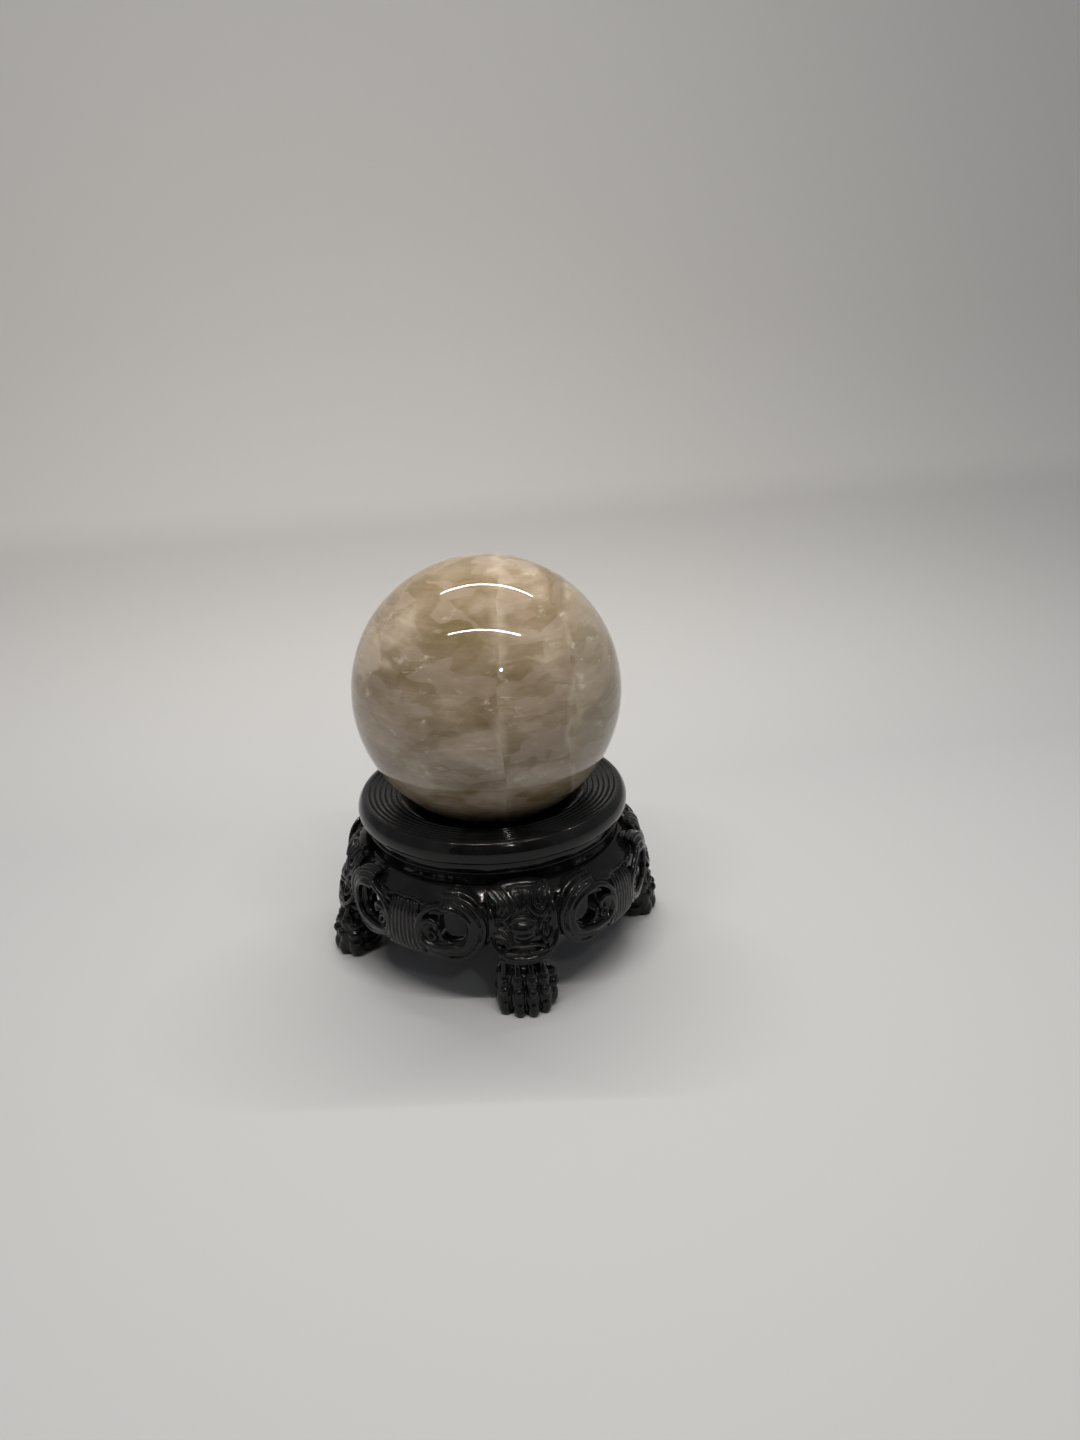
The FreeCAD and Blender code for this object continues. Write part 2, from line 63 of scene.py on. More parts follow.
camera_data.sensor_width = 36.0
camera_data.clip_start = 0.01
camera = bpy.data.objects.new("camera", camera_data)
bpy.context.collection.objects.link(camera)
look = Vector((0.1810, 0.9144, -0.3622)).normalized()
side = Vector((0.9777, -0.2071, -0.0342)).normalized()
up = side.cross(look)
eye = Vector((-0.04206, -0.2871, 0.17827))
camera.matrix_world = Matrix.Translation(eye) @ Matrix((side, up, -look)).transposed().to_4x4()
bpy.context.scene.camera = camera

# ---------------------------------------------------------------- floor and light
# A pale sweep: a floor that curves up behind into a wall, lit by two rows of small lamps
# overhead, one soft lamp above them, and a small lamp by the viewer.
MM = 0.001
floor_width, floor_length = 3.0, 1.6
sweep_depth, sweep_height, sweep_bend, bend_steps = 0.62, 1.1, 0.16, 12
bpy.ops.object.select_all(action="DESELECT")
bpy.ops.mesh.primitive_plane_add(size=1)
sweep = bpy.context.active_object
sweep.name = "sweep"
bpy.ops.object.mode_set(mode="EDIT")
bpy.ops.transform.resize(value=(floor_width, floor_length, 1))
bpy.ops.transform.translate(value=(0, sweep_depth - floor_length / 2, 0))
bpy.ops.mesh.select_mode(type="EDGE")
bpy.ops.mesh.select_all(action="DESELECT")
bpy.ops.object.mode_set(mode="OBJECT")
for edge in sweep.data.edges:
    ends = [sweep.data.vertices[index].co for index in edge.vertices]
    edge.select = all(end.y > sweep_depth - 0.01 for end in ends)
bpy.ops.object.mode_set(mode="EDIT")
for step in range(bend_steps):
    low = math.radians(90 * step / bend_steps)
    high = math.radians(90 * (step + 1) / bend_steps)
    bpy.ops.mesh.extrude_region_move(TRANSFORM_OT_translate={"value": (
        0, sweep_bend * (math.sin(high) - math.sin(low)),
        sweep_bend * (math.cos(low) - math.cos(high)))})
bpy.ops.mesh.extrude_region_move(TRANSFORM_OT_translate={"value": (0, 0, sweep_height)})
bpy.ops.object.mode_set(mode="OBJECT")
bpy.ops.object.shade_smooth()

sweep_finish = bpy.data.materials.new("pale_sweep")
sweep_finish.use_nodes = True
nodes, links = sweep_finish.node_tree.nodes, sweep_finish.node_tree.links
sweep_face = nodes["Principled BSDF"]
sweep_face.inputs["Roughness"].default_value = 0.7
sweep_face.inputs["Specular IOR Level"].default_value = 0.3
# the tone pales with the way back and up, from the floor round the object to the wall; this is
# painted light: the wall, which the lamps light less, is painted paler than the floor
place = nodes.new("ShaderNodeTexCoord")
spot = nodes.new("ShaderNodeSeparateXYZ")
links.new(place.outputs["Object"], spot.inputs["Vector"])
fade = nodes.new("ShaderNodeMapRange")
fade.inputs["From Min"].default_value = 0.03
fade.inputs["From Max"].default_value = 0.25
rise = nodes.new("ShaderNodeMath")
rise.operation = "MULTIPLY_ADD"
rise.inputs[1].default_value = 0.34
links.new(spot.outputs["Y"], rise.inputs[0])
links.new(spot.outputs["Z"], rise.inputs[2])
links.new(rise.outputs[0], fade.inputs["Value"])
# painted light: the ramp runs from the floor's tone to a paler wall that stands in for light
sweep_tone_and_painted_light = nodes.new("ShaderNodeValToRGB")
sweep_tone_and_painted_light.color_ramp.elements[0].color = (0.438, 0.444, 0.462, 1)
sweep_tone_and_painted_light.color_ramp.elements[1].color = (0.88, 0.86, 0.835, 1)
links.new(fade.outputs["Result"], sweep_tone_and_painted_light.inputs["Fac"])
links.new(sweep_tone_and_painted_light.outputs["Color"], sweep_face.inputs["Base Color"])
sweep.data.materials.append(sweep_finish)

world = bpy.data.worlds.new("room")
bpy.context.scene.world = world
world.use_nodes = True
world.node_tree.nodes["Background"].inputs["Color"].default_value = (0.92, 0.95, 1.0, 1)
world.node_tree.nodes["Background"].inputs["Strength"].default_value = 0.24


def lamp(name, spot, aim, width, depth, power, colour):
    """A flat rectangular lamp at spot that faces aim."""
    light = bpy.data.lights.new(name, "AREA")
    light.shape = "RECTANGLE"
    light.size, light.size_y = width, depth
    light.energy = power
    light.color = colour
    item = bpy.data.objects.new(name, light)
    item.location = spot
    item.rotation_euler = (Vector(spot) - Vector(aim)).to_track_quat("Z", "Y").to_euler()
    bpy.context.collection.objects.link(item)
    return item


ceiling = lamp("overhead", (0.0, 0.10, 0.80), (0, 0.10, 0), 0.8, 0.8, 1.9, (1, 0.98, 0.95))
ceiling.visible_glossy = False

# a dark card behind the viewer, who stands in front and is what the gloss black looks back at; it is
# painted shade, a near-black sheet hidden from the camera that darkens the reflections in the gloss
# black and on the ball
bpy.ops.object.select_all(action="DESELECT")
bpy.ops.mesh.primitive_plane_add(size=1)
viewer_card = bpy.context.active_object
viewer_card.name = "viewer_card"
bpy.ops.object.mode_set(mode="EDIT")
bpy.ops.transform.resize(value=(0.7, 0.9, 1))
bpy.ops.transform.rotate(value=math.radians(90), orient_axis="X", center_override=(0, 0, 0))
bpy.ops.transform.translate(value=(-0.06, -0.42, 0.45))
bpy.ops.object.mode_set(mode="OBJECT")
# painted shade: the sheet's near-black colour, mottled at random
painted_shade_sheet = bpy.data.materials.new("painted_shade_sheet")
painted_shade_sheet.use_nodes = True
shade_sheet_mottle = painted_shade_sheet.node_tree.nodes.new("ShaderNodeTexNoise")
shade_sheet_mottle.inputs["Scale"].default_value = 30
shade_sheet_tone = painted_shade_sheet.node_tree.nodes.new("ShaderNodeValToRGB")
shade_sheet_tone.color_ramp.elements[0].color = (0.02, 0.02, 0.022, 1)
shade_sheet_tone.color_ramp.elements[1].color = (0.05, 0.05, 0.055, 1)
painted_shade_sheet.node_tree.links.new(shade_sheet_mottle.outputs["Fac"], shade_sheet_tone.inputs["Fac"])
shade_sheet_surface = painted_shade_sheet.node_tree.nodes["Principled BSDF"]
shade_sheet_surface.inputs["Roughness"].default_value = 0.9
painted_shade_sheet.node_tree.links.new(shade_sheet_tone.outputs["Color"], shade_sheet_surface.inputs["Base Color"])
viewer_card.data.materials.append(painted_shade_sheet)
viewer_card.visible_camera = False
# two rows of small lamps hang level above the ball; each is (up, towards the viewer) from it
strip_middles = {"near_strip": (0.709, 0.704), "far_strip": (1.0, -0.012)}
strip_lamps, strip_gap, strip_rise = 26, 0.0165, 0.40
small_lamp, small_power = 0.0035, 0.055
lit_spot = Vector((0, 0, 0.0754))
for name, (above, near) in strip_middles.items():
    direction = (up * above - look * near).normalized()
    middle = lit_spot + direction * strip_rise / direction.z
    for number in range(strip_lamps):
        shift = side * (number - (strip_lamps - 1) / 2) * strip_gap
        lamp(f"{name}_{number}", middle + shift, lit_spot, small_lamp, small_lamp, small_power,
             (1, 0.95, 0.86))
lamp("viewer", eye + up * 0.08 + side * 0.06, lit_spot, 0.010, 0.010, 0.05, (1, 0.97, 0.92))
bpy.context.scene.view_settings.view_transform = "Standard"

# ---------------------------------------------------------------- ball
# A sphere of cloudy grey-beige moonstone, ground and polished, that lies loose in the dish.
# Fine cracks, healed white, cross it upright, and the clouds are drawn out level.
ball_low, ball_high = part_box("ball")
ball_centre = Vector((0, 0, (ball_low[2] + ball_high[2]) / 2))
ball_radius = (ball_high[2] - ball_low[2]) / 2
ball_cuts = 95
bpy.ops.object.select_all(action="DESELECT")
bpy.ops.mesh.primitive_cube_add(size=ball_radius, location=ball_centre)
ball = bpy.context.active_object
ball.name = "stone_ball"
bpy.ops.object.mode_set(mode="EDIT")
bpy.ops.mesh.subdivide(number_cuts=ball_cuts)
bpy.ops.object.mode_set(mode="OBJECT")
for corner in ball.data.vertices:
    corner.co = corner.co.normalized() * ball_radius
bpy.ops.object.transform_apply(location=True, rotation=True, scale=True)
bpy.ops.object.shade_smooth()

stone = bpy.data.materials.new("cloudy_moonstone")
stone.use_nodes = True
nodes, links = stone.node_tree.nodes, stone.node_tree.links


def sum_node(operation, first, second, third=None):
    """A Math node; numbers go on its sockets and outputs are linked to them."""
    node = nodes.new("ShaderNodeMath")
    node.operation = operation
    for socket, value in zip(node.inputs, (first, second, third)):
        if isinstance(value, (int, float)):
            socket.default_value = value
        elif value is not None:
            links.new(value, socket)
    return node.outputs[0]


def noise_node(vector, scale, detail, roughness=0.55):
    """Cloudy noise read along a vector."""
    node = nodes.new("ShaderNodeTexNoise")
    node.inputs["Scale"].default_value = scale
    node.inputs["Detail"].default_value = detail
    node.inputs["Roughness"].default_value = roughness
    links.new(vector, node.inputs["Vector"])
    return node.outputs["Fac"]


def fade_node(value, low, high, start=0.0, finish=1.0):
    """Maps low to start and high to finish, smoothly."""
    node = nodes.new("ShaderNodeMapRange")
    node.interpolation_type = "SMOOTHSTEP"
    for label, number in (("From Min", low), ("From Max", high), ("To Min", start),
                          ("To Max", finish)):
        node.inputs[label].default_value = number
    links.new(value, node.inputs["Value"])
    return node.outputs["Result"]


def stretched(vector, scale):
    """The vector with each of its axes multiplied by a scale."""
    node = nodes.new("ShaderNodeVectorMath")
    node.operation = "MULTIPLY"
    links.new(vector, node.inputs[0])
    node.inputs[1].default_value = scale
    return node.outputs[0]


def blend_node(amount, first, second):
    """Mixes two colours; each is an output or a plain colour."""
    node = nodes.new("ShaderNodeMix")
    node.data_type = "RGBA"
    for socket, value in ((node.inputs["Factor"], amount), (node.inputs[6], first),
                          (node.inputs[7], second)):
        if isinstance(value, (int, float, tuple)):
            socket.default_value = value
        else:
            links.new(value, socket)
    return node.outputs[2]


grain = nodes.new("ShaderNodeTexCoord").outputs["Object"]
axes = nodes.new("ShaderNodeSeparateXYZ")
links.new(grain, axes.inputs[0])
# how far across the two healed cracks a place lies; the stone is shifted a little past each
wander = noise_node(stretched(grain, (60, 60, 38)), 1.0, 3)
across = sum_node("MULTIPLY_ADD", axes.outputs["X"], 0.978,
                  sum_node("MULTIPLY_ADD", axes.outputs["Y"], -0.207,
                           sum_node("MULTIPLY", sum_node("SUBTRACT", wander, 0.5), 0.006)))
first_crack, second_crack = 0.005, 0.0225
past_first = sum_node("GREATER_THAN", across, first_crack)
past_second = sum_node("GREATER_THAN", across, second_crack)
shift = nodes.new("ShaderNodeCombineXYZ")
links.new(sum_node("MULTIPLY_ADD", past_first, 0.013, sum_node("MULTIPLY", past_second, 0.017)),
          shift.inputs["X"])
links.new(sum_node("MULTIPLY_ADD", past_first, 0.004, sum_node("MULTIPLY", past_second, -0.007)),
          shift.inputs["Z"])
bed = nodes.new("ShaderNodeVectorMath")
links.new(grain, bed.inputs[0])
links.new(shift.outputs[0], bed.inputs[1])
warp = nodes.new("ShaderNodeTexNoise")
warp.inputs["Scale"].default_value = 70
warp.inputs["Detail"].default_value = 3
links.new(bed.outputs[0], warp.inputs["Vector"])
warped = nodes.new("ShaderNodeVectorMath")
warped.operation = "MULTIPLY_ADD"
links.new(warp.outputs["Color"], warped.inputs[0])
warped.inputs[1].default_value = (0.010, 0.010, 0.004)
links.new(bed.outputs[0], warped.inputs[2])
patches = []
for scale in ((62, 62, 120), (150, 150, 330)):
    cells = nodes.new("ShaderNodeTexVoronoi")
    cells.feature = "SMOOTH_F1"
    cells.inputs["Smoothness"].default_value = 0.22
    cells.inputs["Scale"].default_value = 1.0
    links.new(stretched(warped.outputs[0], scale), cells.inputs["Vector"])
    shade = nodes.new("ShaderNodeSeparateColor")
    links.new(cells.outputs["Color"], shade.inputs[0])
    patches.append(shade.outputs[0])
cloud = noise_node(stretched(warped.outputs[0], (38, 38, 80)), 1.0, 5, 0.6)
streaks = noise_node(stretched(warped.outputs[0], (70, 70, 1100)), 1.0, 3, 0.6)
body = sum_node("MULTIPLY_ADD", patches[0], 0.25, sum_node("MULTIPLY", patches[1], 0.15))
body = sum_node("MULTIPLY_ADD", fade_node(cloud, 0.30, 0.70), 0.42, body)
body = sum_node("MULTIPLY_ADD", streaks, 0.24, body)
tone = nodes.new("ShaderNodeValToRGB")
tone.color_ramp.elements[0].position = 0.22
tone.color_ramp.elements[0].color = (0.170, 0.125, 0.062, 1)
tone.color_ramp.elements[1].position = 0.86
tone.color_ramp.elements[1].color = (0.52, 0.44, 0.34, 1)
middle_tone = tone.color_ramp.elements.new(0.54)
middle_tone.color = (0.285, 0.222, 0.150, 1)
links.new(body, tone.inputs["Fac"])
mauve = blend_node(sum_node("MULTIPLY", fade_node(patches[1], 0.35, 0.75), 0.45),
                   tone.outputs["Color"], (0.315, 0.245, 0.195, 1))
greener = blend_node(sum_node("MULTIPLY", fade_node(across, 0.021, 0.027), 0.35),
                     mauve, (0.36, 0.33, 0.255, 1))
healed = None
for crack, wide in ((first_crack, 0.0026), (second_crack, 0.0014)):
    apart = sum_node("ABSOLUTE", sum_node("SUBTRACT", across, crack), 0)
    line = fade_node(apart, 0, wide, 1, 0)
    healed = line if healed is None else sum_node("MAXIMUM", healed, line)
broken = fade_node(noise_node(stretched(grain, (90, 90, 110)), 1.0, 4), 0.36, 0.66)
veined = blend_node(sum_node("MULTIPLY", healed, sum_node("MULTIPLY", broken, 0.42)),
                    greener, (0.52, 0.455, 0.36, 1))
flecks = fade_node(noise_node(stretched(warped.outputs[0], (150, 150, 330)), 1.0, 5, 0.65),
                   0.57, 0.72)
place_of_flecks = fade_node(noise_node(grain, 26, 2), 0.36, 0.56)
flecked = blend_node(sum_node("MULTIPLY", flecks, sum_node("MULTIPLY", place_of_flecks, 0.7)),
                     veined, (0.62, 0.57, 0.48, 1))
polish = nodes["Principled BSDF"]
links.new(flecked, polish.inputs["Base Color"])
links.new(fade_node(cloud, 0.3, 0.7, 0.02, 0.045), polish.inputs["Roughness"])
polish.inputs["IOR"].default_value = 1.53
polish.inputs["Subsurface Weight"].default_value = 0.12
polish.inputs["Subsurface Radius"].default_value = (1.0, 0.7, 0.4)
polish.inputs["Subsurface Scale"].default_value = 0.003
ball.data.materials.append(stone)
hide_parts("ball")
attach(ball, "ball")

# ---------------------------------------------------------------- dish
# The stand's turned top: a rounded flange, a face with rings turned in it that falls towards
# a deep seat, and a spigot that is glued into the collar. Gloss black lacquer.
lacquer = bpy.data.materials.new("black_lacquer")
lacquer.use_nodes = True
nodes, links = lacquer.node_tree.nodes, lacquer.node_tree.links
gloss = nodes["Principled BSDF"]
coat_place = nodes.new("ShaderNodeTexCoord").outputs["Object"]
pooled = noise_node(coat_place, 190, 4)
coat_colour = blend_node(fade_node(pooled, 0.35, 0.7), (0.0035, 0.0035, 0.0040, 1),
                         (0.0075, 0.0075, 0.0078, 1))
links.new(coat_colour, gloss.inputs["Base Color"])
links.new(fade_node(noise_node(coat_place, 420, 3), 0.3, 0.7, 0.07, 0.15),
          gloss.inputs["Roughness"])
gloss.inputs["IOR"].default_value = 1.42
gloss.inputs["Specular IOR Level"].default_value = 0.42
ripple = nodes.new("ShaderNodeBump")
ripple.inputs["Strength"].default_value = 0.10
ripple.inputs["Distance"].default_value = 0.0003
links.new(noise_node(coat_place, 520, 3), ripple.inputs["Height"])
links.new(ripple.outputs["Normal"], gloss.inputs["Normal"])


def turn_on_lathe(name, outline, steps=256):
    """Spins a closed outline of (radius, height) in millimetres about the upright axis."""
    mesh = bpy.data.meshes.new(name)
    corners = [(radius * MM, 0, height * MM) for radius, height in outline]
    edges = [(number, (number + 1) % len(corners)) for number in range(len(corners))]
    mesh.from_pydata(corners, edges, [])
    piece = bpy.data.objects.new(name, mesh)
    bpy.context.collection.objects.link(piece)
    bpy.ops.object.select_all(action="DESELECT")
    bpy.context.view_layer.objects.active = piece
    piece.select_set(True)
    bpy.ops.object.mode_set(mode="EDIT")
    bpy.ops.mesh.select_all(action="SELECT")
    bpy.ops.mesh.spin(steps=steps, angle=math.tau, center=(0, 0, 0), axis=(0, 0, 1))
    bpy.ops.mesh.select_all(action="SELECT")
    bpy.ops.mesh.remove_doubles(threshold=0.00001)
    bpy.ops.mesh.normals_make_consistent(inside=False)
    bpy.ops.object.mode_set(mode="OBJECT")
    bpy.ops.object.shade_smooth_by_angle(angle=math.radians(50))
    return piece


def arc(centre_r, centre_z, radius, start, finish, steps=10):
    """Points of an arc in the section, from one angle to another in degrees."""
    points = []
    for step in range(steps + 1):
        turn = math.radians(start + (finish - start) * step / steps)
        points.append((centre_r + radius * math.cos(turn), centre_z + radius * math.sin(turn)))
    return points


rim_radius, rim_height, rim_round = 33.42, 42.88, 5.2
dish_outline = [(0.0, 34.4), (30.0, 34.4), (30.0, 40.4), (37.2, 40.4)]
dish_outline += arc(37.2, 41.0, 0.6, -90, -35, 5)
dish_outline += arc(rim_radius, rim_height, rim_round, -22, 44, 22)
ring_radii = (35.2, 33.7, 32.2, 30.7, 29.1, 27.5)
face_edge, face_top, face_fall = 36.7, 46.85, 1.2 / 9.7
for radius in ring_radii:
    level = face_top - (face_edge - radius) * face_fall
    dish_outline += [(radius + 0.75, level + 0.02), (radius + 0.45, level - 0.08),
                     (radius + 0.22, level - 0.42), (radius, level - 0.55),
                     (radius - 0.18, level - 0.45), (radius - 0.3, level - 0.1)]
dish_outline += arc(26.9, 45.2, 0.45, 80, 190, 8)
dish_outline += [(25.6, 44.6), (24.2, 44.0), (20.0, 42.75), (14.0, 40.4), (10.0, 38.85)]
dish_outline += [(9.7, 38.4), (9.7, 37.2), (9.3, 36.9), (0.0, 36.9)]
dish = turn_on_lathe("turned_dish", dish_outline)
dish.data.materials.append(lacquer)
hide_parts("dish")
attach(dish, "stand")

# ---------------------------------------------------------------- collar
# A turned ring glued under the flange, with a faint bead below the seam. The legs and the
# aprons seat under it and lap its foot.
collar_outline = [(30.1, 32.1), (35.2, 32.1), (35.8, 32.6), (35.85, 34.5), (35.9, 36.6)]
collar_outline += arc(35.9, 37.15, 0.4, -75, 75, 8)
collar_outline += [(36.15, 37.8), (36.2, 39.6), (36.0, 40.3), (30.1, 40.3)]
collar = turn_on_lathe("turned_collar", collar_outline)
collar.data.materials.append(lacquer)
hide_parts("collar")
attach(collar, "stand")

# ---------------------------------------------------------------- aprons
# A bulging pierced wall between two legs. A ribbed scroll curls at each end round a hole, its
# tip turned in as an eye; a gathered band of upright flutes fills the middle. The four are alike.
APRON_TURN = math.radians(-45)
scroll_along, scroll_height, apron_round = 14.6, 24.8, 44.0


def apron_point(along, height, reach):
    """A place on the front right apron: mm along its curve, above the floor, from the axis."""
    turn = APRON_TURN + along / apron_round
    return (reach * math.cos(turn) * MM, reach * math.sin(turn) * MM, height * MM)


def strand_bundle(name, strands):
    """Round tapered strands as one mesh. Each strand is a list of (place, radius in mm)."""
    curve = bpy.data.curves.new(name, "CURVE")
    curve.dimensions = "3D"
    curve.bevel_depth = MM
    curve.bevel_resolution = 3
    curve.use_fill_caps = True
    curve.resolution_u = 5
    for strand in strands:
        line = curve.splines.new("NURBS")
        line.points.add(len(strand) - 1)
        line.order_u = 3
        line.use_endpoint_u = True
        for point, (place, radius) in zip(line.points, strand):
            point.co = (*place, 1)
            point.radius = radius
    bundle = bpy.data.objects.new(name, curve)
    bpy.context.collection.objects.link(bundle)
    bpy.ops.object.select_all(action="DESELECT")
    bpy.context.view_layer.objects.active = bundle
    bundle.select_set(True)
    bpy.ops.object.convert(target="MESH")
    return bpy.context.active_object


def prism(name, corners):
    """A closed plug that runs outwards through the apron wall along a ring of (along, height)."""
    count = len(corners)
    inner_reach, outer_reach = 30, 52
    places = [apron_point(along, height, reach) for reach in (inner_reach, outer_reach)
              for along, height in corners]
    sides = [(n, (n + 1) % count, count + (n + 1) % count, count + n) for n in range(count)]
    mesh = bpy.data.meshes.new(name)
    mesh.from_pydata(places, [], sides + [tuple(range(count)), tuple(range(count, 2 * count))])
    plug = bpy.data.objects.new(name, mesh)
    bpy.context.collection.objects.link(plug)
    bpy.ops.object.select_all(action="DESELECT")
    bpy.context.view_layer.objects.active = plug
    plug.select_set(True)
    bpy.ops.object.mode_set(mode="EDIT")
    bpy.ops.mesh.select_all(action="SELECT")
    bpy.ops.mesh.normals_make_consistent(inside=False)
    bpy.ops.object.mode_set(mode="OBJECT")
    return plug


def carve_together(pieces, name, cell, rounding):
    """Joins overlapping solids into one carved skin of cells in mm, with its edges eased."""
    bpy.ops.object.select_all(action="DESELECT")
    for piece in pieces:
        piece.select_set(True)
    bpy.context.view_layer.objects.active = pieces[0]
    bpy.ops.object.join()
    carving = bpy.context.active_object
    carving.name = name
    skin = carving.modifiers.new("skin", "REMESH")
    skin.mode = "VOXEL"
    skin.voxel_size = cell * MM
    skin.use_smooth_shade = True
    bpy.ops.object.modifier_apply(modifier="skin")
    # specks that the skin leaves loose go: only what joins the outermost point stays
    bpy.ops.object.mode_set(mode="EDIT")
    bpy.ops.mesh.select_mode(type="VERT")
    bpy.ops.mesh.select_all(action="DESELECT")
    bpy.ops.object.mode_set(mode="OBJECT")
    outermost = max(carving.data.vertices, key=lambda corner: corner.co.xy.length)
    outermost.select = True
    bpy.ops.object.mode_set(mode="EDIT")
    bpy.ops.mesh.select_linked()
    bpy.ops.mesh.select_all(action="INVERT")
    bpy.ops.mesh.delete(type="VERT")
    bpy.ops.object.mode_set(mode="OBJECT")
    ease = carving.modifiers.new("ease", "SMOOTH")
    ease.factor = 0.5
    ease.iterations = rounding
    bpy.ops.object.modifier_apply(modifier="ease")
    bpy.ops.object.shade_smooth()
    return carving


def turned_copy(source, name, degrees):
    """The same carving with its own mesh, turned about the stand's axis."""
    copy = source.copy()
    copy.data = source.data.copy()
    copy.name = name
    copy.data.transform(Matrix.Rotation(math.radians(degrees), 4, "Z"))
    bpy.context.collection.objects.link(copy)
    return copy


# the wall's section, from its foot up the outside to the collar and back down the inside
wall_section = [(38.4, 15.4), (40.9, 15.0), (41.6, 16.0), (41.9, 19.0), (42.0, 22.0), (41.9, 25.0),
                (41.5, 28.0), (40.6, 30.0), (39.2, 31.4), (37.8, 32.5), (36.6, 33.3), (36.0, 33.6),
                (35.7, 33.4), (35.7, 32.0), (31.6, 31.9), (31.6, 29.5), (36.2, 29.5), (38.2, 27.0),
                (38.4, 22.0), (38.2, 18.0)]
wall_half_turn = math.radians(34)
wall_mesh = bpy.data.meshes.new("apron_wall")
wall_mesh.from_pydata([apron_point(wall_half_turn * apron_round, height, reach)
                       for reach, height in wall_section],
                      [], [tuple(range(len(wall_section)))])
wall = bpy.data.objects.new("apron_wall", wall_mesh)
bpy.context.collection.objects.link(wall)
bpy.ops.object.select_all(action="DESELECT")
bpy.context.view_layer.objects.active = wall
wall.select_set(True)
bpy.ops.object.mode_set(mode="EDIT")
bpy.ops.mesh.select_all(action="SELECT")
bpy.ops.mesh.spin(steps=48, angle=2 * wall_half_turn, center=(0, 0, 0), axis=(0, 0, 1))
bpy.ops.mesh.select_all(action="SELECT")
bpy.ops.mesh.remove_doubles(threshold=0.000005)
bpy.ops.mesh.select_mode(type="EDGE")
bpy.ops.mesh.select_all(action="DESELECT")
bpy.ops.mesh.select_non_manifold()
bpy.ops.mesh.edge_face_add()
bpy.ops.mesh.select_all(action="SELECT")
bpy.ops.mesh.normals_make_consistent(inside=False)
bpy.ops.object.mode_set(mode="OBJECT")

